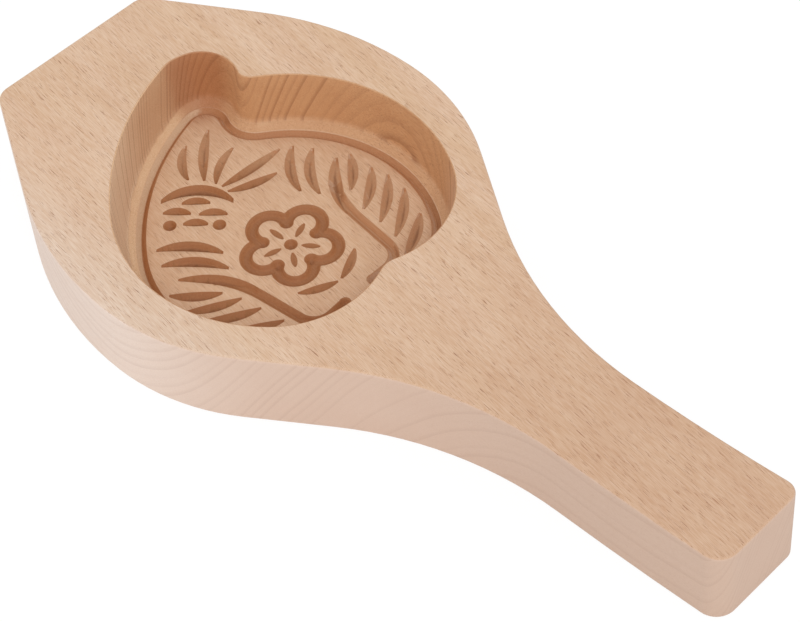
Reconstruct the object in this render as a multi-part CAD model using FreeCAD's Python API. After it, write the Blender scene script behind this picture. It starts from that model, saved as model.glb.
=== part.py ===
import FreeCAD, Part
import math
import os

from FreeCAD import Vector

# A wooden mooncake mold: one flat board of beech, cut to a round-shouldered paddle with a handle,
# with a peach-shaped cavity and a carved pattern on the cavity floor.
# Millimetres. X runs along the board with the handle at +X, Z is up through the open face.
# It is drawn with X counted from the head end, and moved in the end so that the origin is the middle
# of its footprint, on the underside.

# The board: the length is measured along its middle line, and the side wall is the wood left beside
# the widest place of the cavity, from which the width of the board follows
LENGTH = 250.0
SIDE_WALL = 12.94
THICKNESS = 26.0
HANDLE_WIDTH = 29.6
WIDEST_FROM_HEAD = 79.4
HEAD_ARC_RADIUS = 94.0
HEAD_FLARE_ANGLE = 30.4
SHOULDER_RADIUS = 66.5
NECK_ANGLE = 33.5
NECK_RADIUS = 111.5
HEAD_CORNER_RADIUS = 5.5
EDGE_ROUNDING = 0.9
UNDERSIDE_EASE = 0.6

# The board is cut by hand: the head end is a little out of square, and past the neck the handle
# bends and swells a little toward +Y
HEAD_END_SKEW = 3.0
FAR_BEND_RADIUS = 640.0
NEAR_BEND_RADIUS = 1200.0
FAR_HANDLE_CORNER_RADIUS = 4.0
NEAR_HANDLE_CORNER_RADIUS = 6.0

# The cavity: the outline at the open face is eight tangent arcs, given by the lobes of a peach
CAVITY_DEPTH = 18.0
WALL_LEAN = 2.7
FOOT_RADIUS = 4.0
RIM_EASE = 0.4
FAR_END_CENTRE = (100.1, 15.0)
FAR_END_RADIUS = 26.5
FAR_LOBE_CENTRE = (88.2, -4.6)
NOTCH_RADIUS = 4.1
TIP_CENTRE = (38.6, 14.1)
TIP_RADIUS = 11.6
NEAR_FLANK_RADIUS = 81.0
NEAR_LOBE_CENTRE = (85.1, 1.5)
NEAR_END_CENTRE = (95.7, -10.7)
NEAR_END_RADIUS = 30.2
CLEFT_RADIUS = 6.6

# Every stroke on the floor has flanks at the same angle, measured from upright. Where a groove
# starts or ends the tool plunges a little deeper. The two sides of a blade would only meet a share of
# its length past its ends, and this makes the ends blunt.
FLANK_ANGLE = 42.0
TOOL_LIFT = 0.9
PLUNGE = 0.15
BLADE_OVERRUN = 0.07

# The groove that follows the foot of the wall
RING_OFFSET = 6.0
RING_WIDTH = 2.8
RING_DEPTH = 1.3

# The round dots
DOT_WIDTH = 3.6
DOT_DEPTH = 1.4

# The leaf stems: a groove that starts inside its own blade, bends one way, runs on and curls the other way
STEM_WIDTH = 3.3
STEM_DEPTH = 1.4
STEM_BEND_RADIUS = 34.0
STEM_BEND_ANGLE = 24.0
STEM_STRAIGHT = 13.0
CURL_RADIUS = 6.3
CURL_ANGLE = 86.0
CURL_STRAIGHT = 5.2

# The blossom in the middle
BLOSSOM_CENTRE = (88.4, -0.8)
PETALS = 5
PETAL_VALLEY_RADIUS = 7.9
PETAL_TOP_RADIUS = 13.2
PETAL_WIDTH = 3.8
PETAL_DEPTH = 1.5
STAMEN_START = 2.9
STAMEN_END = 8.2
STAMEN_BULGE = 0.95

FAR_LOBE_RADIUS = FAR_END_RADIUS + math.dist(FAR_LOBE_CENTRE, FAR_END_CENTRE)
NEAR_LOBE_RADIUS = NEAR_END_RADIUS + math.dist(NEAR_LOBE_CENTRE, NEAR_END_CENTRE)
HALF_CAVITY = max(FAR_LOBE_RADIUS + FAR_LOBE_CENTRE[1], NEAR_LOBE_RADIUS - NEAR_LOBE_CENTRE[1])
HALF_WIDTH = HALF_CAVITY + SIDE_WALL
HALF_HANDLE = HANDLE_WIDTH / 2.0
FLOOR_Z = THICKNESS - CAVITY_DEPTH


def toward(a, b):
    """The direction from a to b as an angle."""
    return math.atan2(b[1] - a[1], b[0] - a[0])


def on_circle(centre, radius, angle):
    return (centre[0] + radius * math.cos(angle), centre[1] + radius * math.sin(angle))


def handle_side(start_x, y, bend_radius):
    """One side of the handle: three points of an arc from the neck to the end, bending toward +Y."""
    reach = math.asin((LENGTH - start_x) / bend_radius)
    points = []
    for angle in (0.0, reach / 2.0, reach):
        x = start_x + bend_radius * math.sin(angle)
        points.append(Vector(x, y + bend_radius * (1.0 - math.cos(angle)), 0.0))
    return points


def board_outline():
    """The paddle outline with sharp corners at both ends, and the four corners with their radii."""
    flare = math.radians(HEAD_FLARE_ANGLE)
    neck = math.radians(NECK_ANGLE)
    head_centre_y = HALF_WIDTH - HEAD_ARC_RADIUS
    shoulder_centre_y = HALF_WIDTH - SHOULDER_RADIUS
    neck_centre_y = HALF_HANDLE + NECK_RADIUS

    def head(angle):
        return on_circle((WIDEST_FROM_HEAD, head_centre_y), HEAD_ARC_RADIUS, math.pi / 2.0 + angle)

    def shoulder(angle):
        return on_circle((WIDEST_FROM_HEAD, shoulder_centre_y), SHOULDER_RADIUS, math.pi / 2.0 - angle)

    flare_start = head(flare)
    shoulder_end = shoulder(neck)
    square_corner_y = flare_start[1] - flare_start[0] * math.tan(flare)
    neck_start_y = neck_centre_y - NECK_RADIUS * math.cos(neck)
    neck_start_x = shoulder_end[0] + (shoulder_end[1] - neck_start_y) / math.tan(neck)
    neck_centre_x = neck_start_x + NECK_RADIUS * math.sin(neck)

    def hollow(angle):
        return on_circle((neck_centre_x, neck_centre_y), NECK_RADIUS, -math.pi / 2.0 - angle)

    edges = []
    head_corners = []
    handle_corners = []
    skew = math.tan(math.radians(HEAD_END_SKEW))
    for side, bend_radius in ((1.0, FAR_BEND_RADIUS), (-1.0, NEAR_BEND_RADIUS)):

        def point(place):
            return Vector(place[0], side * place[1], 0.0)

        corner_y = side * square_corner_y / (1.0 - side * skew * math.tan(flare))
        corner = Vector(corner_y * skew, corner_y, 0.0)
        bend = handle_side(neck_centre_x, side * HALF_HANDLE, bend_radius)
        edges.append(Part.makeLine(corner, point(flare_start)))
        edges.append(Part.Arc(point(flare_start), point(head(flare / 2.0)), point(head(0.0))).toShape())
        edges.append(Part.Arc(point(head(0.0)), point(shoulder(neck / 2.0)), point(shoulder_end)).toShape())
        edges.append(Part.makeLine(point(shoulder_end), point(hollow(neck))))
        edges.append(Part.Arc(point(hollow(neck)), point(hollow(neck / 2.0)), point(hollow(0.0))).toShape())
        edges.append(Part.Arc(bend[0], bend[1], bend[2]).toShape())
        head_corners.append(corner)
        handle_corners.append(bend[2])
    edges.append(Part.makeLine(head_corners[0], head_corners[1]))
    edges.append(Part.makeLine(handle_corners[0], handle_corners[1]))
    corners = [
        (head_corners[0], HEAD_CORNER_RADIUS),
        (head_corners[1], HEAD_CORNER_RADIUS),
        (handle_corners[0], FAR_HANDLE_CORNER_RADIUS),
        (handle_corners[1], NEAR_HANDLE_CORNER_RADIUS),
    ]
    return Part.Wire(Part.__sortEdges__(edges)), corners


def make_board():
    """The board with its corners rounded in plan, its upper edge rounded and its lower edge eased."""
    outline, corners = board_outline()
    board = Part.Face(outline).extrude(Vector(0.0, 0.0, THICKNESS))
    for corner, radius in corners:
        middle = corner + Vector(0.0, 0.0, THICKNESS / 2.0)
        nearest = min(board.Edges, key=lambda edge: edge.CenterOfMass.distanceToPoint(middle))
        board = board.makeFillet(radius, [nearest])
    upper = [edge for edge in board.Edges if edge.BoundBox.ZMin > THICKNESS - 0.01]
    board = board.makeFillet(EDGE_ROUNDING, upper)
    lower = [edge for edge in board.Edges if edge.BoundBox.ZMax < 0.01]
    return board.makeChamfer(UNDERSIDE_EASE, lower)


def blend_centre(a, reach_a, b, reach_b, side):
    """The point at the two given reaches from a and b, on the left of a to b when side is 1."""
    gap = math.dist(a, b)
    along = (reach_a ** 2 - reach_b ** 2 + gap ** 2) / (2.0 * gap)
    across = math.sqrt(reach_a ** 2 - along ** 2)
    heading = toward(a, b)
    foot = on_circle(a, along, heading)
    return on_circle(foot, side * across, heading + math.pi / 2.0)


def cavity_arcs():
    """The eight arcs counter-clockwise: centre, radius, start and end angle, 1 for a lobe, -1 for a hollow."""
    notch = blend_centre(
        FAR_LOBE_CENTRE, FAR_LOBE_RADIUS + NOTCH_RADIUS, TIP_CENTRE, TIP_RADIUS + NOTCH_RADIUS, -1.0
    )
    flank = blend_centre(
        TIP_CENTRE, NEAR_FLANK_RADIUS - TIP_RADIUS, NEAR_LOBE_CENTRE, NEAR_FLANK_RADIUS - NEAR_LOBE_RADIUS, 1.0
    )
    cleft = blend_centre(
        NEAR_END_CENTRE, NEAR_END_RADIUS + CLEFT_RADIUS, FAR_END_CENTRE, FAR_END_RADIUS + CLEFT_RADIUS, -1.0
    )
    joins = [
        toward(FAR_END_CENTRE, cleft),
        toward(FAR_LOBE_CENTRE, FAR_END_CENTRE),
        toward(FAR_LOBE_CENTRE, notch),
        toward(TIP_CENTRE, notch),
        toward(flank, TIP_CENTRE),
        toward(flank, NEAR_LOBE_CENTRE),
        toward(NEAR_LOBE_CENTRE, NEAR_END_CENTRE),
        toward(NEAR_END_CENTRE, cleft),
    ]
    lobes = [
        (FAR_END_CENTRE, FAR_END_RADIUS, joins[0], joins[1], 1),
        (FAR_LOBE_CENTRE, FAR_LOBE_RADIUS, joins[1], joins[2], 1),
        (notch, NOTCH_RADIUS, joins[2] + math.pi, joins[3] + math.pi, -1),
        (TIP_CENTRE, TIP_RADIUS, joins[3], joins[4], 1),
        (flank, NEAR_FLANK_RADIUS, joins[4], joins[5], 1),
        (NEAR_LOBE_CENTRE, NEAR_LOBE_RADIUS, joins[5], joins[6], 1),
        (NEAR_END_CENTRE, NEAR_END_RADIUS, joins[6], joins[7], 1),
        (cleft, CLEFT_RADIUS, joins[7] + math.pi, joins[0] + math.pi, -1),
    ]
    arcs = []
    for centre, radius, start, end, kind in lobes:
        turn = (end - start) * kind % (2.0 * math.pi)
        arcs.append((centre, radius, start, start + kind * turn, kind))
    return arcs


def cavity_wire(inset, z):
    """The cavity outline moved inward by inset, at height z."""
    edges = []
    for centre, radius, start, end, kind in cavity_arcs():
        points = []
        for angle in (start, (start + end) / 2.0, end):
            x, y = on_circle(centre, radius - kind * inset, angle)
            points.append(Vector(x, y, z))
        edges.append(Part.Arc(points[0], points[1], points[2]).toShape())
    return Part.Wire(edges)


def make_cavity():
    """The leaning wall down to the floor, with a rounded foot, reaching a little above the board."""
    above = 1.0
    lean = WALL_LEAN / CAVITY_DEPTH
    top = cavity_wire(-lean * above, THICKNESS + above)
    bottom = cavity_wire(WALL_LEAN, FLOOR_Z)
    cavity = Part.makeLoft([bottom, top], True, True)
    foot = [edge for edge in cavity.Edges if edge.BoundBox.ZMax < FLOOR_Z + 0.01]
    return cavity.makeFillet(FOOT_RADIUS, foot)


def groove(path, width, depth):
    """A flat-bottomed groove of the given width at floor level, carried along a path on the floor."""
    slope = math.tan(math.radians(FLANK_ANGLE))
    half = width / 2.0
    edge = path.OrderedEdges[0]
    start = edge.valueAt(edge.FirstParameter)
    across = edge.tangentAt(edge.FirstParameter).cross(Vector(0.0, 0.0, 1.0))
    corners = []
    for sideways, height in (
        (-half + slope * depth, -depth),
        (half - slope * depth, -depth),
        (half + slope * TOOL_LIFT, TOOL_LIFT),
        (-half - slope * TOOL_LIFT, TOOL_LIFT),
    ):
        corners.append(start + across * sideways + Vector(0.0, 0.0, height))
    section = Part.makePolygon(corners + [corners[0]])
    sweep = Part.BRepOffsetAPI.MakePipeShell(path)
    sweep.setBiNormalMode(Vector(0.0, 0.0, 1.0))
    sweep.add(section)
    sweep.build()
    sweep.makeSolid()
    return sweep.shape()


def groove_end(x, y, width, depth):
    """The round end of a groove, left by the tool where it plunges."""
    slope = math.tan(math.radians(FLANK_ANGLE))
    deep = depth + PLUNGE
    bottom = width / 2.0 - slope * depth
    top = bottom + slope * (deep + TOOL_LIFT)
    return Part.makeCone(bottom, top, deep + TOOL_LIFT, Vector(x, y, FLOOR_Z - deep))


def flank_cone(centre, radius, deep, spread):
    """A cone with the given radius at floor level; it narrows downward for spread -1, widens for 1."""
    slope = math.tan(math.radians(FLANK_ANGLE)) * spread
    top = radius - slope * TOOL_LIFT
    bottom = radius + slope * deep
    base = Vector(centre[0], centre[1], FLOOR_Z - deep)
    return Part.makeCone(bottom, top, deep + TOOL_LIFT, base)


def blunt_ends(middle, half, deep, heading):
    """A block across the blade whose two sloping ends cut the blade to its length."""
    slope = math.tan(math.radians(FLANK_ANGLE))
    across = Vector(-math.sin(heading), math.cos(heading), 0.0) * 2.0 * half
    corners = []
    for along, height in (
        (-half + slope * deep, -deep),
        (half - slope * deep, -deep),
        (half + slope * TOOL_LIFT, TOOL_LIFT),
        (-half - slope * TOOL_LIFT, TOOL_LIFT),
    ):
        x, y = on_circle(middle, along, heading)
        corners.append(Vector(x, y, FLOOR_Z + height) - across)
    section = Part.Face(Part.makePolygon(corners + [corners[0]]))
    return section.extrude(across * 2.0)


def blade(tip_a, tip_b, outer, inner):
    """A carved blade from end to end, with the bulges of both sides measured to the left of a to b."""
    half = math.dist(tip_a, tip_b) / 2.0
    meet = half * (1.0 + 2.0 * BLADE_OVERRUN)
    heading = toward(tip_a, tip_b)
    middle = on_circle(tip_a, half, heading)
    deep = (outer - inner) / 2.0 / math.tan(math.radians(FLANK_ANGLE)) + 0.5

    def side(bulge, spread):
        radius = (meet ** 2 + bulge ** 2) / (2.0 * abs(bulge))
        reach = bulge - math.copysign(radius, bulge)
        centre = on_circle(middle, reach, heading + math.pi / 2.0)
        return flank_cone(centre, radius, deep, spread)

    ends = blunt_ends(middle, half, deep, heading)
    if inner < 0.0:
        return side(outer, -1).common(side(inner, -1)).common(ends)
    return side(outer, -1).cut(side(inner, 1)).common(ends)


# The near leaf and the far leaf: two blades, then the blade that starts the stem, then five veins.
# Each blade is its two tips and the bulge of its two sides.
NEAR_LEAF = [
    ((62.3, -27.1), (76.9, -15.5), 4.4, 0.7),
    ((67.4, -30.0), (82.0, -18.3), 4.4, 0.7),
    ((76.0, -35.0), (86.3, -24.7), 0.6, -2.8),
    ((83.3, -36.2), (91.5, -22.6), 0.5, -2.7),
    ((89.2, -35.4), (97.9, -21.5), 0.5, -2.8),
    ((97.4, -32.3), (105.6, -20.4), 0.5, -2.7),
    ((105.8, -29.6), (112.1, -20.2), 0.4, -2.4),
]
FAR_LEAF = [
    ((77.2, 15.0), (63.4, 25.6), 4.0, 0.8),
    ((82.0, 17.8), (68.4, 28.7), 4.1, 0.8),
    ((77.2, 33.3), (86.9, 23.8), 2.6, -0.6),
    ((85.2, 33.6), (94.4, 21.1), 2.8, -0.4),
    ((90.6, 34.7), (101.2, 20.7), 2.8, -0.4),
    ((97.5, 34.1), (107.9, 19.7), 2.8, -0.4),
    ((107.2, 30.4), (114.6, 16.7), 2.8, -0.7),
]
FAN = [
    ((50.3, -2.8), (40.4, 5.7), 3.4, 0.6),
    ((53.8, -0.2), (40.6, 13.9), 2.6, -0.5),
    ((57.3, 1.1), (51.1, 13.8), 3.0, 0.4),
    ((58.7, 1.4), (61.0, 21.9), 1.1, -2.1),
    ((61.1, 1.3), (66.7, 15.2), 0.5, -2.5),
]
BASKET = [
    ((51.2, -15.1), (66.4, -1.5), 8.0, 4.0),
    ((55.1, -10.6), (61.0, -5.1), 2.6, -0.2),
    ((61.6, -10.2), (67.6, -4.8), 2.6, -0.2),
    ((53.7, -16.5), (59.8, -11.4), 2.6, -0.3),
    ((60.8, -15.5), (66.1, -10.8), 2.4, -0.5),
]
DOTS = [(68.4, -8.7), (58.2, -18.0)]
SEPALS = [
    ((102.4, 9.6), (107.1, -0.4), 2.2, -0.6),
    ((107.1, -1.4), (101.8, -11.6), 2.2, -0.6),
]


def run(start, heading, turns):
    """A smooth path on the floor: each turn is a radius and an angle, left positive, or a length and 0."""
    x, y = start
    heading = math.radians(heading)
    edges = []
    for size, angle in turns:
        here = Vector(x, y, FLOOR_Z)
        if angle == 0.0:
            x, y = on_circle((x, y), size, heading)
            edges.append(Part.makeLine(here, Vector(x, y, FLOOR_Z)))
            continue
        sweep = math.radians(angle)
        left = math.copysign(math.pi / 2.0, sweep)
        centre = on_circle((x, y), size, heading + left)
        half = on_circle(centre, size, heading - left + sweep / 2.0)
        x, y = on_circle(centre, size, heading - left + sweep)
        heading += sweep
        middle = Vector(half[0], half[1], FLOOR_Z)
        edges.append(Part.Arc(here, middle, Vector(x, y, FLOOR_Z)).toShape())
    return Part.Wire(edges), (x, y)


# A stem starts as a blade and runs on as a groove: its start, its heading, and 1 if it bends left first
STEM_STARTS = [
    ((74.3, -30.2), (93.0, -18.0), 3.8, 0.3),
    ((93.0, 17.8), (75.9, 30.4), 4.3, 0.4),
]
STEMS = [
    ((82.0, -22.9), 30.0, -1.0),
    ((82.0, 22.6), -30.0, 1.0),
]


def stroke_tools():
    """Every carved stroke on the cavity floor as a solid that takes its wood away."""
    tools = []
    for tip_a, tip_b, outer, inner in NEAR_LEAF + FAR_LEAF + FAN + BASKET + SEPALS + STEM_STARTS:
        tools.append(blade(tip_a, tip_b, outer, inner))
    for x, y in DOTS:
        tools.append(groove_end(x, y, DOT_WIDTH, DOT_DEPTH))
    for start, heading, left in STEMS:
        turns = [
            (STEM_BEND_RADIUS, left * STEM_BEND_ANGLE),
            (STEM_STRAIGHT, 0.0),
            (CURL_RADIUS, -left * CURL_ANGLE),
            (CURL_STRAIGHT, 0.0),
        ]
        path, end = run(start, heading, turns)
        tools.append(groove(path, STEM_WIDTH, STEM_DEPTH))
        tools.append(groove_end(start[0], start[1], STEM_WIDTH, STEM_DEPTH))
        tools.append(groove_end(end[0], end[1], STEM_WIDTH, STEM_DEPTH))
    return tools


def blossom_tools():
    """Petals as bowed strokes from valley to valley, with a short blade in each and a round eye."""
    tools = [groove_end(BLOSSOM_CENTRE[0], BLOSSOM_CENTRE[1], DOT_WIDTH, DOT_DEPTH)]
    pitch = 2.0 * math.pi / PETALS
    for index in range(PETALS):
        middle = math.pi + pitch * index
        points = []
        for radius, angle in (
            (PETAL_VALLEY_RADIUS, middle - pitch / 2.0),
            (PETAL_TOP_RADIUS, middle),
            (PETAL_VALLEY_RADIUS, middle + pitch / 2.0),
        ):
            x, y = on_circle(BLOSSOM_CENTRE, radius, angle)
            points.append(Vector(x, y, FLOOR_Z))
        path = Part.Wire([Part.Arc(points[0], points[1], points[2]).toShape()])
        tools.append(groove(path, PETAL_WIDTH, PETAL_DEPTH))
        tools.append(groove_end(points[0].x, points[0].y, PETAL_WIDTH, PETAL_DEPTH))
        inner_tip = on_circle(BLOSSOM_CENTRE, STAMEN_START, middle)
        outer_tip = on_circle(BLOSSOM_CENTRE, STAMEN_END, middle)
        tools.append(blade(inner_tip, outer_tip, STAMEN_BULGE, -STAMEN_BULGE))
    return tools


def make_mold():
    board = make_board()
    mold = board.cut(make_cavity())
    top = [face for face in mold.Faces if face.BoundBox.ZMin > THICKNESS - 0.01][0]
    rim = [wire for wire in top.Wires if not wire.isSame(top.OuterWire)][0]
    mold = mold.makeChamfer(RIM_EASE, rim.Edges)
    mold = mold.cut(groove(cavity_wire(RING_OFFSET, FLOOR_Z), RING_WIDTH, RING_DEPTH))
    for tool in stroke_tools() + blossom_tools():
        mold = mold.cut(tool)
    box = mold.optimalBoundingBox()
    return mold.translated(Vector(-box.Center.x, 0.0, 0.0))


os.makedirs("parts", exist_ok=True)
shape = make_mold()
if len(shape.Solids) == 1:
    shape = shape.Solids[0]
box = shape.optimalBoundingBox()
print("mold solids", len(shape.Solids), "valid", shape.isValid(), "volume cm3", round(shape.Volume / 1000.0, 1))
print("box", round(box.XMin, 2), round(box.XMax, 2), round(box.YMin, 2), round(box.YMax, 2), round(box.ZMax, 2))
shape.exportStep("parts/mold_body.step")
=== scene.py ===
# %% [markdown]
# # A carved beech mooncake mold
# The object is one flat board of beech. A maker saws it to a paddle, sinks a peach-shaped cavity
# into it and cuts a pattern into the cavity floor. Its form comes from the CAD model, so this
# lesson is about the two things that are left: a skin that shades smoothly over the carved
# surfaces, and a wood that has fibres, flecks and growth rings in the right places.

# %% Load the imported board
import math

import bmesh
import bpy
import numpy as np
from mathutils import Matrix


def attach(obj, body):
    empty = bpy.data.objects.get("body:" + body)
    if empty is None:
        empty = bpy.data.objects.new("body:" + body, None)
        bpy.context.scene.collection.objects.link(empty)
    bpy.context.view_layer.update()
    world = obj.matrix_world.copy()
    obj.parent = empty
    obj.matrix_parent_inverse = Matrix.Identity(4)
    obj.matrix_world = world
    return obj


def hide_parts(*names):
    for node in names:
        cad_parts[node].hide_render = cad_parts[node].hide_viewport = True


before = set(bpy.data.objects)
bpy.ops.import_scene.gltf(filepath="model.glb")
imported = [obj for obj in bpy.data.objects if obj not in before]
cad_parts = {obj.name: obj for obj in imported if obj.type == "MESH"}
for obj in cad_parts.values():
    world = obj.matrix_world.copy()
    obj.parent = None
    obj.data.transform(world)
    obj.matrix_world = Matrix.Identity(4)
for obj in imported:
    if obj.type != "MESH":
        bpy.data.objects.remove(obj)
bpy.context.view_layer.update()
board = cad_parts["mold_body"]
print("board:", len(board.data.polygons), "triangles")

# %% [markdown]
# ## The skin of the board
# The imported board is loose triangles, and each would be lit by itself, so a curved wall would show
# its facets. One way out is to model the board again on a finer grid. That would lose the crisp
# lips of the gouge strokes. So the triangles are welded instead, and an edge stays sharp only where
# its two faces meet at more than the angle between two facets of a curve. Large flat faces then
# set the direction of the light at their own corners, so that a rounding never tints the flat
# beside it.

# %% Weld the triangles and keep the cut edges sharp
FACET_ANGLE = math.radians(24.0)
WELD_DISTANCE = 2e-6


def welded_skin(source, name):
    """A copy of a CAD node with its loose triangles joined and its cut edges marked sharp."""
    mesh = source.data.copy()
    mesh.name = name
    work = bmesh.new()
    work.from_mesh(mesh)
    bmesh.ops.remove_doubles(work, verts=work.verts, dist=WELD_DISTANCE)
    work.to_mesh(mesh)
    work.free()
    mesh.materials.clear()
    mesh.shade_smooth()
    mesh.set_sharp_from_angle(angle=FACET_ANGLE)
    skin = bpy.data.objects.new(name, mesh)
    bpy.context.scene.collection.objects.link(skin)
    by_area = skin.modifiers.new("flat faces lead", "WEIGHTED_NORMAL")
    by_area.mode = "FACE_AREA"
    by_area.keep_sharp = True
    return skin


skin = welded_skin(board, "beech_board")
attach(skin, "root")
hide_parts("mold_body")
print("skin:", len(skin.data.vertices), "points,", len(skin.data.polygons), "triangles")

# %% [markdown]
# ## Helpers for materials
# Colours are written as they are seen, in sRGB hex, and the shader wants them linear, so one
# function turns them. One more adds a node with its settings and its links. A link may name a node,
# which stands for its first output, so that a pattern below stays a few readable lines. Sockets
# are named by number where their names are shared. In a Map Range node, 0 is what it reads, 1 and
# 2 are where it starts and ends, and 3 and 4 are what it gives there, nought and one if not set.
# In a Mix node of colours, 0 is the share, 6 and 7 are the colours, and output 2 is the result.

# %% Colour and node helpers


def linear(hex_colour):
    """An sRGB hex colour as linear RGBA: near black c / 12.92, else ((c + 0.055) / 1.055) ^ 2.4."""
    parts = [int(hex_colour[i : i + 2], 16) / 255.0 for i in (1, 3, 5)]
    lin = [c / 12.92 if c <= 0.04045 else ((c + 0.055) / 1.055) ** 2.4 for c in parts]
    return (lin[0], lin[1], lin[2], 1.0)


def add(tree, kind, inputs, **settings):
    """Adds a node. Each input names a socket, with a value, a hex colour, a node or an output."""
    made = tree.nodes.new("ShaderNode" + kind)
    for key, value in settings.items():
        setattr(made, key, value)
    for key, value in inputs.items():
        socket = made.inputs[key]
        if isinstance(value, bpy.types.Node):
            value = value.outputs[0]
        if isinstance(value, bpy.types.NodeSocket):
            tree.links.new(value, socket)
        else:
            socket.default_value = linear(value) if isinstance(value, str) else value
    return made


print("a grey written as #808080 is", round(linear("#808080")[0], 3), "in linear light")

# %% [markdown]
# ## Beech
# The board is raw beech: sawn, its outside sanded, its cavity and pattern cut with gouges and
# left as the tools left them. Nothing is oiled or varnished, so the eye sees a dull, pale
# pinkish-tan wood with a fine, even texture. Three things tell that it is beech: very fine fibres
# that run along the board, short dark flecks where the rays come to the surface, and thin growth
# rings that show as lines wherever the wood is cut across. Pictures on each face could draw them,
# but they would break at the edges. So all of them are solid patterns in the board's own
# coordinates, in millimetres, and run on from face to face as in a real block. The fibres don't
# run quite along the board: it was sawn a few degrees off them.

# %% Start the beech: millimetres, and the way of the fibres
FIBRE_TURN = math.radians(7.5)

beech = bpy.data.materials.new("beech_sanded_and_carved")
beech.use_nodes = True
tree = beech.node_tree
tree.nodes.clear()

coordinates = add(tree, "TexCoord", {})
millimetres = add(
    tree, "VectorMath", {0: coordinates.outputs["Object"], "Scale": 1000.0}, operation="SCALE"
)
along_fibres = add(
    tree, "VectorRotate", {"Vector": millimetres, "Angle": FIBRE_TURN}, rotation_type="Z_AXIS"
)
print("the fibres run", round(math.degrees(FIBRE_TURN), 1), "degrees off the board")

# %% [markdown]
# ### What the masks read
# A mask says how much of a tone a spot gets. It reads a number that changes over the board, and
# every such number gets a name in one list. Some come from the place of the spot: its coordinates,
# or its distance on plan from a point. Others come from the way its face looks. How far the face
# looks up or down tells a flat from a wall. How far it looks along the fibres tells wood that is
# cut across them. The third is how far it looks along the way from which light is painted in:
# walls and flanks are given painted light and shade by how far they turn towards it.

# %% Numbers that change over the board
# painted light: the way on plan, towards the handle and the far side, from which light and shade are
# painted onto walls, the foot and flanks
LIGHT_WAY = (0.9, 0.44, 0.0)
POINTS = {
    "from cavity middle": (-45.5, 0.0, 0.0),
    "from tip shade": (-96.0, 22.0, 0.0),
    "from near leaf": (-44.0, -24.0, 0.0),
    "from groove centre": (-27.3, 20.4, 0.0),
}

place = add(tree, "SeparateXYZ", {0: millimetres}).outputs
number = {"X": place["X"], "Y": place["Y"], "Z": place["Z"]}
on_plan = add(tree, "VectorMath", {0: millimetres, 1: (1.0, 1.0, 0.0)}, operation="MULTIPLY")
for name, point in POINTS.items():
    distance = add(tree, "VectorMath", {0: on_plan, 1: point}, operation="DISTANCE")
    number[name] = distance.outputs["Value"]

facing = coordinates.outputs["Normal"]
either_way = add(tree, "VectorMath", {0: facing}, operation="ABSOLUTE")
number["looks up"] = add(tree, "SeparateXYZ", {0: either_way}).outputs["Z"]
fibre_way = (math.cos(FIBRE_TURN), -math.sin(FIBRE_TURN), 0.0)
toward_fibres = add(tree, "VectorMath", {0: facing, 1: fibre_way}, operation="DOT_PRODUCT")
across = {0: toward_fibres.outputs["Value"]}
number["cut across"] = add(tree, "Math", across, operation="ABSOLUTE")
# how far a face looks along the way of the painted light
light_facing = add(tree, "VectorMath", {0: facing, 1: LIGHT_WAY}, operation="DOT_PRODUCT")
number["light facing"] = light_facing.outputs["Value"]
print("numbers that masks can read:", ", ".join(number))

# %% [markdown]
# ### Fibres, bands and flecks
# Fibres are long and thin, so the noise that draws them is stretched along them. Each pattern is
# given by the size of its lumps in millimetres, along the fibres and across them. Bands are broad
# changes over several years of growth, and clouds are where the sander pressed harder. The flecks
# are the cut ends of rays, in beech about 0.15 mm wide and up to 4 mm long: the highest peaks of
# a noise with short, thin lumps, so that no two are alike. Real fibres and pores are under 0.1 mm
# wide, too fine for this picture, so both fibre patterns are drawn as coarse as they need to show.
# Waves only make the growth rings wander.

# %% Noise patterns by the size of their lumps
LUMPS = {
    "bands": ((110.0, 13.0, 13.0), 2.0),
    "clouds": ((22.0, 9.0, 9.0), 3.0),
    "fibres": ((14.0, 0.35, 0.35), 2.0),
    "short fibres": ((3.4, 0.15, 0.15), 1.0),
    "flecks": ((4.2, 0.14, 0.14), 1.0),
    "waves": ((45.0, 22.0, 60.0), 1.0),
}

for name, (size, detail) in LUMPS.items():
    in_lumps = add(tree, "VectorMath", {0: along_fibres, 1: size}, operation="DIVIDE")
    number[name] = add(tree, "TexNoise", {"Vector": in_lumps, "Scale": 1.0, "Detail": detail})
print("patterns:", ", ".join(LUMPS))

# %% [markdown]
# ### Masks for the zones of the board
# The masks could be painted by hand, but then they wouldn't fit the carving to a tenth of a
# millimetre. Here each is one row: the number that it reads, where it starts, where it is full, and
# the mask that it lies within, if any. The cavity lies inside one circle, over the base and under
# the face. In it, the wall stands, its foot is the rounding between wall and floor, and all that
# is lower than the floor is a stroke. The small tip of the cavity is so narrow that it is given
# painted shade. The flat bottoms of the strokes are given painted light, and their deepest parts
# and the strokes of the near leaf painted shade. The outer side is given painted light: palest at
# the head, darker towards the handle.

# %% Rows for the zones
FLOOR_HEIGHT = 8.0
FACE_HEIGHT = 26.0
CAVITY_REACH = 54.5

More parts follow.
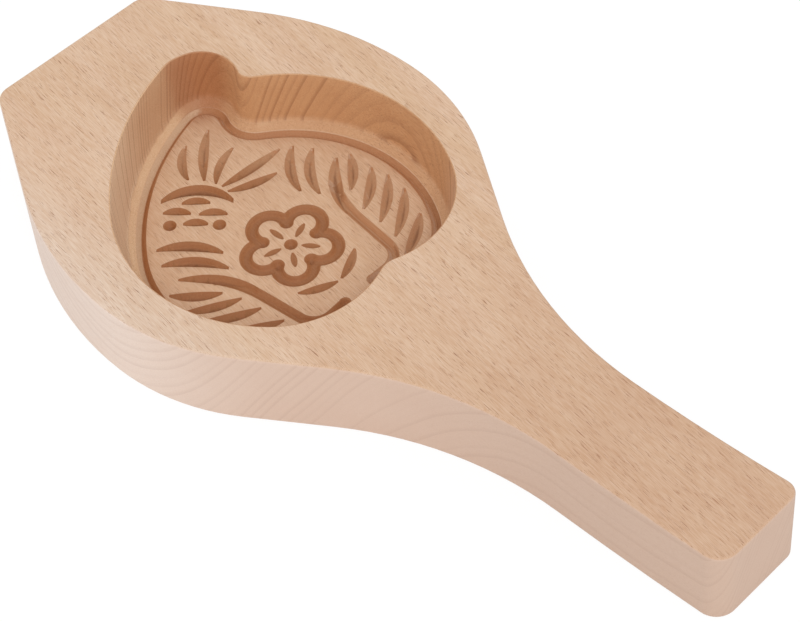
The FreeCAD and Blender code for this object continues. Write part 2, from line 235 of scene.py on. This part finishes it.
ZONES = {
    "in circle": ("from cavity middle", CAVITY_REACH + 0.5, CAVITY_REACH - 0.5, None),
    "over base": ("Z", 1.5, 2.5, "in circle"),
    "inside": ("Z", FACE_HEIGHT - 0.01, FACE_HEIGHT - 0.12, "over base"),
    "outside": ("inside", 1.0, 0.0, None),
    "outer side": ("looks up", 0.9, 0.3, "outside"),
    # painted shade: the outer side darkens towards the handle
    "shaded handle side": ("X", -10.0, 100.0, "outer side"),
    # painted light: the outer side is palest at the head
    "lit head side": ("X", 15.0, -60.0, "outer side"),
    "wall": ("looks up", 0.62, 0.42, "inside"),
    "wall above foot": ("Z", FLOOR_HEIGHT + 1.0, FLOOR_HEIGHT + 5.0, "wall"),
    "over floor": ("Z", FLOOR_HEIGHT + 0.02, FLOOR_HEIGHT + 0.3, "inside"),
    "foot": ("looks up", 0.42, 0.62, "over floor"),
    # painted shade in the narrow tip of the cavity
    "tip shade": ("from tip shade", 16.0, 4.0, "inside"),
    "stroke": ("Z", FLOOR_HEIGHT - 0.01, FLOOR_HEIGHT - 0.08, "inside"),
    # painted light on the flat bottoms of the strokes
    "bottom": ("looks up", 0.85, 0.97, "stroke"),
    # painted shade in the deepest parts of the strokes
    "valley shade": ("Z", FLOOR_HEIGHT - 1.0, FLOOR_HEIGHT - 2.0, "stroke"),
    # painted shade of the near wall on the strokes of the near leaf
    "near stroke shade": ("from near leaf", 50.0, 32.0, "stroke"),
}
print("zones:", len(ZONES))

# %% [markdown]
# ### Masks for painted light and shade, and for the flecks
# Walls, the foot and the flanks of the strokes are given painted light and shade by how they face
# the light way, each inside its zone. The near leaf gets no painted light on its flanks, so the row
# for the far flanks only starts away from it. The groove round the floor gets a painted highlight
# on its flank along its arc on the head's near side, so that row starts just outside the arc.
# Flecks only show where the wood is cut along the fibres: on the flat faces and the long walls,
# not on the ends or in the strokes. The outer side is sanded finer, and few of them show there:
# the row for that starts beyond 1, so it never falls quite to nought.

# %% Rows for painted light and shade, the flecks, and all the masks
SMOOTH = {"interpolation_type": "SMOOTHSTEP"}
GROOVE_RADIUS = 60.0

LIGHT_AND_FLECK_ROWS = {
    # painted light and shade: walls, foot and flanks toned by how they face the light way
    "wall to light": ("light facing", 0.25, 0.9, "wall"),
    "wall from light": ("light facing", -0.7, -1.0, "wall"),
    "near wall": ("Y", 12.0, -32.0, "wall to light"),
    "foot to light": ("light facing", 0.15, 0.55, "foot"),
    "flank to light": ("light facing", 0.25, 0.6, "stroke"),
    "flank from light": ("light facing", -0.35, -0.65, "stroke"),
    "far flank to light": ("from near leaf", 34.0, 50.0, "flank to light"),
    "groove flank to light": ("from groove centre", GROOVE_RADIUS - 0.4, GROOVE_RADIUS + 0.3, "flank to light"),
    "cut along": ("cut across", 0.75, 0.35, None),
    "less on sides": ("outer side", 1.6, 0.0, "cut along"),
    "out of strokes": ("stroke", 1.0, 0.0, "less on sides"),
    "open flecks": ("flecks", 0.66, 0.71, "out of strokes"),
}

for name, (reads, start, full, within) in {**ZONES, **LIGHT_AND_FLECK_ROWS}.items():
    most = number[within] if within else 1.0
    number[name] = add(tree, "MapRange", {0: number[reads], 1: start, 2: full, 4: most}, **SMOOTH)
print("cuts:", len(LIGHT_AND_FLECK_ROWS), "- beech nodes so far:", len(tree.nodes))

# %% [markdown]
# ### Growth rings
# One ring follows the next about every 1.5 mm across the board. The rings stand almost upright and
# lean a little: on the end of the handle they are fine upright lines, and on the far wall of the
# cavity, which curves away from them, the same rings are stretched to wide slanting lines that
# close to an arch. That is why one solid pattern, and not a picture on each face, gives all of
# them. Each ring darkens slowly and ends sharply, and some are much stronger than others: the
# number of the ring, put through a noise, says how strong it is.

# %% Growth rings
RINGS_PER_MM = (0.0, 0.67, -0.27)
RINGS_WANDER = 1.5
RING_STRENGTHS = (0.1, 0.9)
WEAKEST_RING = 0.15
RING_DARKENS = (0.4, 0.93)
RING_ENDS = (1.0, 0.95)

straight = add(tree, "VectorMath", {0: millimetres, 1: RINGS_PER_MM}, operation="DOT_PRODUCT")
ring_count = add(
    tree,
    "Math",
    {0: number["waves"], 1: RINGS_WANDER, 2: straight.outputs["Value"]},
    operation="MULTIPLY_ADD",
)
ring_phase = add(tree, "Math", {0: ring_count}, operation="FRACT")
ring_number = add(tree, "Math", {0: ring_count}, operation="FLOOR")
ring_strength = add(tree, "TexWhiteNoise", {"W": ring_number}, noise_dimensions="1D")
low, high = RING_STRENGTHS
strong = add(tree, "MapRange", {0: ring_strength, 1: low, 2: high, 3: WEAKEST_RING}, **SMOOTH)
start, full = RING_DARKENS
darkening = add(tree, "MapRange", {0: ring_phase, 1: start, 2: full, 4: strong}, **SMOOTH)
start, full = RING_ENDS
rings = add(tree, "MapRange", {0: ring_phase, 1: start, 2: full, 4: darkening}, **SMOOTH)
print("rings: one every", round(1.0 / RINGS_PER_MM[1], 2), "mm across the board")

# %% [markdown]
# ### The tones of the wood
# The wood of the cavity and the strokes is cut across the fibres, so it drinks light and looks
# deeper in colour than the sanded outside; part of their deeper tone is painted shade and warm
# bounce light of the cavity. Many more layers paint light and shade, as each row says. Every layer
# covers the colour under it where its number is above nought: first the tone of each zone, from the
# outside to the bottom of the strokes, then the flanks, and last the flecks. A row has the number
# that it reads, where it starts, where it is full, the most that the layer covers, and its colour.

# %% Lay the tones over each other
SANDED = "#D8B699"
LAYERS = [
    ("bands", 0.35, 0.65, 1.0, "#D3AF8F"),
    # painted shade: the face darkens from the head towards the handle
    ("X", -20.0, 90.0, 0.8, "#C9A385"),
    # painted light: paler towards the near edge of the face
    ("Y", -30.0, -60.0, 0.5, "#DFCBBA"),
    # partly the cut wood's own deeper colour, partly painted shade and warm bounce light of the
    # cavity
    ("inside", 0.0, 1.0, 0.85, "#D0A886"),
    # partly the finer sanding's own paler tone, partly painted light from the bright surroundings
    ("outer side", 0.0, 1.0, 0.9, "#D7BAA7"),
    # painted shade towards the handle
    ("shaded handle side", 0.0, 1.0, 0.8, "#CCAE99"),
    # painted light at the head
    ("lit head side", 0.0, 1.0, 0.9, "#EFDACB"),
    # painted shade and painted warm light reflected from the wall, in the rounding at the foot
    ("foot", 0.0, 1.0, 0.85, "#CB9B71"),
    ("wall", 0.0, 1.0, 0.9, "#D2A37A"),
    ("wall above foot", 0.0, 1.0, 0.9, "#CB976A"),
    # painted light on the foot where it faces the light way
    ("foot to light", 0.0, 1.0, 0.85, "#DDB892"),
    # painted light and shade: a paler, greyer tone where the wall faces from the light way
    ("wall from light", 0.0, 1.0, 0.5, "#D6B091"),
    # painted light: a paler, greyer tone where the wall faces the light way
    ("wall to light", 0.0, 1.0, 0.85, "#C9A07C"),
    # painted light, paler on the near part of the wall facing the light way
    ("near wall", 0.0, 1.0, 0.8, "#DFC0A0"),
    # painted shade in the narrow tip
    ("tip shade", 0.0, 1.0, 0.65, "#A5653B"),
    # partly the cut wood's own darker colour, partly painted shade inside the grooves
    ("stroke", 0.0, 1.0, 1.0, "#B47D54"),
    # painted light on the flat bottoms of the strokes
    ("bottom", 0.0, 1.0, 0.6, "#BA8B66"),
    # painted shade on flanks facing from the light way
    ("flank from light", 0.0, 1.0, 0.6, "#945F39"),
    # painted shade of the near wall over the near leaf
    ("near stroke shade", 0.0, 1.0, 0.85, "#9D6338"),
    # painted light and sheen on the far flanks facing the light way
    ("far flank to light", 0.0, 1.0, 0.8, "#C6A488"),
    # painted highlight on the groove's flank facing the light way
    ("groove flank to light", 0.0, 1.0, 0.85, "#D0AC8A"),
    # painted shade in the deepest parts of the strokes
    ("valley shade", 0.0, 1.0, 0.6, "#82502F"),
    ("open flecks", 0.0, 1.0, 0.85, "#905A3A"),
]

colour = linear(SANDED)
for name, start, full, most, hex_colour in LAYERS:
    cover = add(tree, "MapRange", {0: number[name], 1: start, 2: full, 4: most}, **SMOOTH)
    layer = add(tree, "Mix", {0: cover, 6: colour, 7: hex_colour}, data_type="RGBA")
    colour = layer.outputs[2]
print("tones:", len(LAYERS))

# %% [markdown]
# ### Rings and fibres in the colour
# The rings show on the standing faces: faintly on the sanded outer side, and strongly on the wall.
# The fibres don't cover the colour, they multiply it: by a tint just under white where a pattern is
# dense, and by that tint turned over, so just above white, where it is thin. So a dark stroke and
# a pale face get the same contrast, and a fibre never lies on a stroke like dust. On the outer
# side, which is sanded finer, the tints stay nearer to their middle.

# %% Draw the rings and the fibres
RINGS_ON_SIDE = 0.10
RINGS_ON_WALL = 0.42
RING_COLOUR = "#8A5230"
FIBRE_TINTS = {"clouds": "#FCFAF9", "fibres": "#FDFBF9", "short fibres": "#F6EFE8"}
CALM = 0.35
THIN, DENSE = 0.3, 0.7

ring_cover = add(tree, "MapRange", {0: number["outer side"], 3: 0.0, 4: RINGS_ON_SIDE})
ring_cover = add(tree, "MapRange", {0: number["wall"], 3: ring_cover, 4: RINGS_ON_WALL})
ring_cover = add(tree, "Math", {0: rings, 1: ring_cover}, operation="MULTIPLY")
colour = add(tree, "Mix", {0: ring_cover, 6: colour, 7: RING_COLOUR}, data_type="RGBA").outputs[2]

thinnest = add(tree, "MapRange", {0: number["outer side"], 3: 0.0, 4: CALM})
densest = add(tree, "MapRange", {0: number["outer side"], 3: 1.0, 4: 1.0 - CALM})
for name, tint in FIBRE_TINTS.items():
    dark = linear(tint)
    light = tuple(1.0 / part for part in dark)
    span = {1: THIN, 2: DENSE, 3: thinnest, 4: densest}
    amount = add(tree, "MapRange", {0: number[name], **span})
    tinted = add(tree, "Mix", {0: amount, 6: light, 7: dark}, data_type="RGBA").outputs[2]
    colour = add(tree, "VectorMath", {0: colour, 1: tinted}, operation="MULTIPLY")
print("fibre patterns in the colour:", ", ".join(FIBRE_TINTS))

# %% [markdown]
# ### The surface
# Raw sanded beech is dull, with only a faint sheen. Flecks and fibres are tiny hollows, a few
# hundredths of a millimetre deep, so they go to the bump and not into the mesh. A fleck sinks about
# twice as far as the fibres rise. The roughness changes a little with the fibres, as the sander
# polishes the hard ones more.

# %% Finish the beech
FIBRE_RISE = 0.4
FLECK_SINK = -0.7
RELIEF_DEPTH = 0.00008
RELIEF_SHARE = 0.35
ROUGHNESS = (0.58, 0.70)
WOOD_IOR = 1.45

relief = add(tree, "Math", {0: number["fibres"], 1: FIBRE_RISE}, operation="MULTIPLY")
relief = add(
    tree, "Math", {0: number["open flecks"], 1: FLECK_SINK, 2: relief}, operation="MULTIPLY_ADD"
)
bump = add(
    tree, "Bump", {"Height": relief, "Strength": RELIEF_SHARE, "Distance": RELIEF_DEPTH}
)
roughness = add(tree, "MapRange", {0: number["fibres"], 3: ROUGHNESS[0], 4: ROUGHNESS[1]})
surface = add(
    tree,
    "BsdfPrincipled",
    {"Base Color": colour, "Roughness": roughness, "IOR": WOOD_IOR, "Normal": bump},
)
add(tree, "OutputMaterial", {"Surface": surface})
skin.data.materials.append(beech)
print("beech:", len(tree.nodes), "nodes")

# %% [markdown]
# ## Floor
# The mold lies on a pale, matt floor. To come out white in the picture, the floor could be lit
# harder, but that would bleach the wood too. So a share of plain white is mixed into it that only
# the camera and mirrors meet, and the shadow of the board still shows in the rest. The floor lies a
# tenth of a millimetre under the board: two flat faces in one plane would flicker through each
# other, seen from below.

# %% Floor
FLOOR_SIZE = 3.0
FLOOR_GAP = 0.0001
FLOOR_COLOUR = "#EDEDED"
FLOOR_WHITE = 1.05
WHITE_SHARE = 0.85


def white_for(nodes):
    """1 for the rays that should meet plain white: from the camera, a mirror or through glass."""
    rays = add(nodes, "LightPath", {}).outputs
    seen = {0: rays["Is Camera Ray"], 1: rays["Is Glossy Ray"]}
    either = add(nodes, "Math", seen, operation="MAXIMUM")
    return add(nodes, "Math", {0: either, 1: rays["Is Transmission Ray"]}, operation="MAXIMUM")


def make_floor():
    """A square in one flat plane, with half its side to each side of the origin."""
    half = FLOOR_SIZE / 2.0
    outline = [(-half, -half), (half, -half), (half, half), (-half, half)]
    corners = [(x, y, -FLOOR_GAP) for x, y in outline]
    mesh = bpy.data.meshes.new("floor")
    mesh.from_pydata(corners, [], [(0, 1, 2, 3)])
    floor = bpy.data.objects.new("floor", mesh)
    bpy.context.scene.collection.objects.link(floor)
    paint = bpy.data.materials.new("pale_floor_paint")
    paint.use_nodes = True
    nodes = paint.node_tree
    nodes.nodes.clear()
    matt = add(nodes, "BsdfDiffuse", {"Color": FLOOR_COLOUR})
    white = add(nodes, "Emission", {"Strength": FLOOR_WHITE})
    share = add(nodes, "MapRange", {0: white_for(nodes), 4: WHITE_SHARE})
    both = add(nodes, "MixShader", {0: share, 1: matt, 2: white})
    add(nodes, "OutputMaterial", {"Surface": both})
    mesh.materials.append(paint)
    return floor


make_floor()
print("floor:", FLOOR_SIZE, "m wide,", FLOOR_GAP * 1000.0, "mm under the board")

# %% [markdown]
# ## Light
# The mold lies in an even, white light, as in a light tent. Lamps all around it could give that,
# but each would leave its own shadow, so the world itself is the tent and gives most of the light.
# One wide lamp beyond the handle makes the flanks of the strokes that face it a little lighter.

# %% Light from all around, and one wide lamp
TENT_LIGHT = 0.84
LAMP_PLACE = (1.26, -0.89, 1.84)
LAMP_SIZE = 1.2
LAMP_POWER = 16.0

world = bpy.data.worlds.new("light tent")
bpy.context.scene.world = world
world.use_nodes = True
sky = world.node_tree
sky.nodes.clear()
strength = add(sky, "MapRange", {0: white_for(sky), 3: TENT_LIGHT, 4: 1.0})
tent = add(sky, "Background", {"Color": "#FFFFFF", "Strength": strength})
add(sky, "OutputWorld", {"Surface": tent})

lamp_data = bpy.data.lights.new("wide lamp", "AREA")
lamp_data.size = LAMP_SIZE
lamp_data.energy = LAMP_POWER
lamp = bpy.data.objects.new("wide lamp", lamp_data)
bpy.context.scene.collection.objects.link(lamp)
lamp.location = LAMP_PLACE
lamp.rotation_euler = (-lamp.location).to_track_quat("-Z", "Y").to_euler()
print("lamp:", LAMP_POWER, "W,", LAMP_SIZE, "m wide")

# %% [markdown]
# ## Camera
# The camera stands in front of the handle's side and looks down along the board. Placing it by eye
# would leave every edge a few pixels off, so its place, turn and focal length were solved from the
# outline of the board and the rim of the cavity.

# %% Camera
CAMERA_PLACE = (0.33792, -0.29780, 0.57070)
CAMERA_TURN = (38.497, 3.563, 43.734)
FOCAL_LENGTH = 121.58
SENSOR_WIDTH = 36.0

camera_data = bpy.data.cameras.new("camera")
camera_data.sensor_width = SENSOR_WIDTH
camera_data.lens = FOCAL_LENGTH
camera = bpy.data.objects.new("camera", camera_data)
bpy.context.scene.collection.objects.link(camera)
camera.location = CAMERA_PLACE
camera.rotation_euler = [math.radians(angle) for angle in CAMERA_TURN]
bpy.context.scene.camera = camera
bpy.context.scene.view_settings.view_transform = "Standard"
print("camera:", FOCAL_LENGTH, "mm lens")
